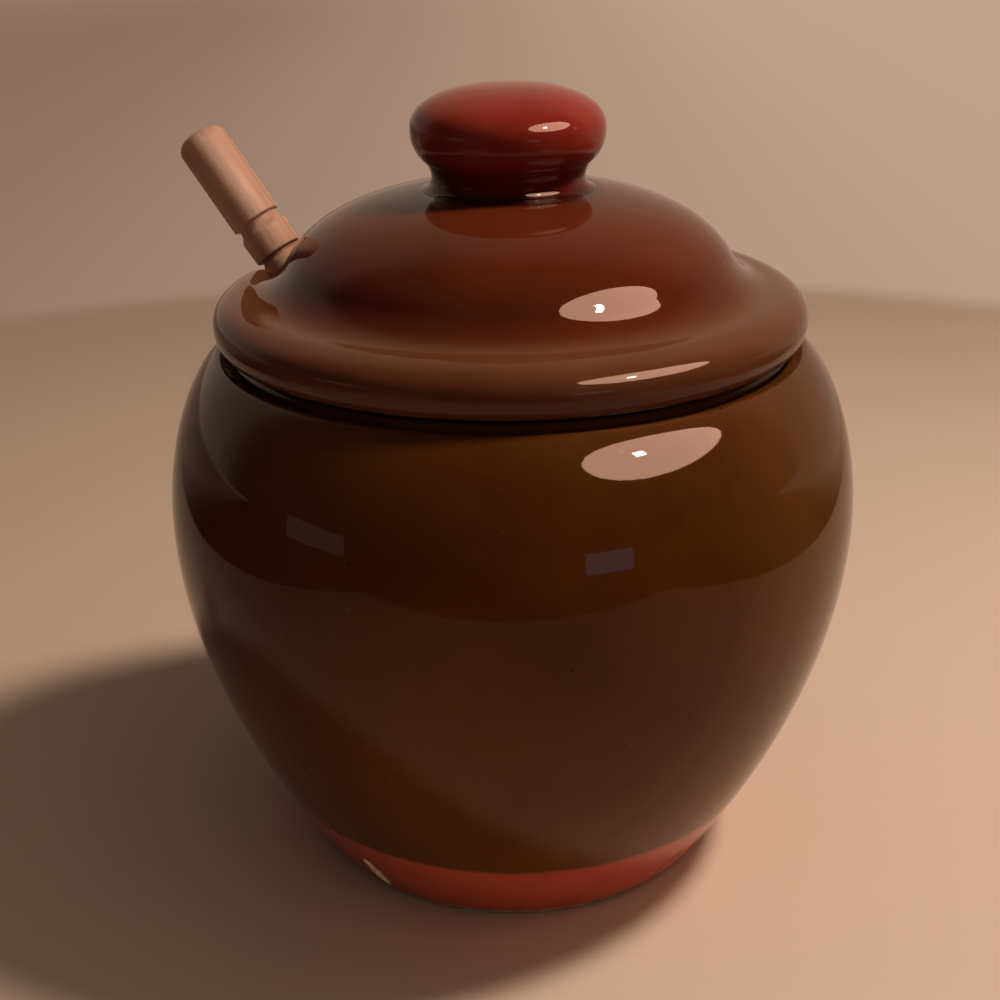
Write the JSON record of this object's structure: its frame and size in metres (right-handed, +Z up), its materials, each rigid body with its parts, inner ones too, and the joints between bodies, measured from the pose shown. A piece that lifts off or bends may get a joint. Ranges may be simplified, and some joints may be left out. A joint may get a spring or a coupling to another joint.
{
  "type": "honey pot",
  "caption": "Round-bellied glazed honey pot with a loose notched lid, a mushroom knob and a wooden dipper leaning out of it.",
  "frame": {"origin": "centre of the overall box, on the table the foot stands on; the pot's own axis stands 1.6 mm towards +X of it, because the dipper's end sticks out at -X", "axes": "+Z up along the pot's axis, -X the side where the dipper leans out, Y across"},
  "size_m": [0.1272, 0.124, 0.1419],
  "materials": {
    "body_glaze": "gloss",
    "lid_glaze": "gloss",
    "knob_glaze": "gloss",
    "dipper_wood": "bare, sanded"
  },
  "bodies": {
    "pot": {"pot_body": "body_glaze"},
    "lid": {"lid_dome": "lid_glaze", "lid_knob": "knob_glaze"},
    "dipper": {"honey_dipper": "dipper_wood"}
  },
  "joints": [
    {"name": "lid_lift", "type": "slide", "parent": "pot", "child": "lid", "axis": [0, 0, 1], "range_m": [0, 0.06]},
    {"name": "dipper_draw", "type": "slide", "parent": "pot", "child": "dipper", "axis": [-0.6046, 0, 0.7965], "range_m": [0, 0.06]}
  ]
}
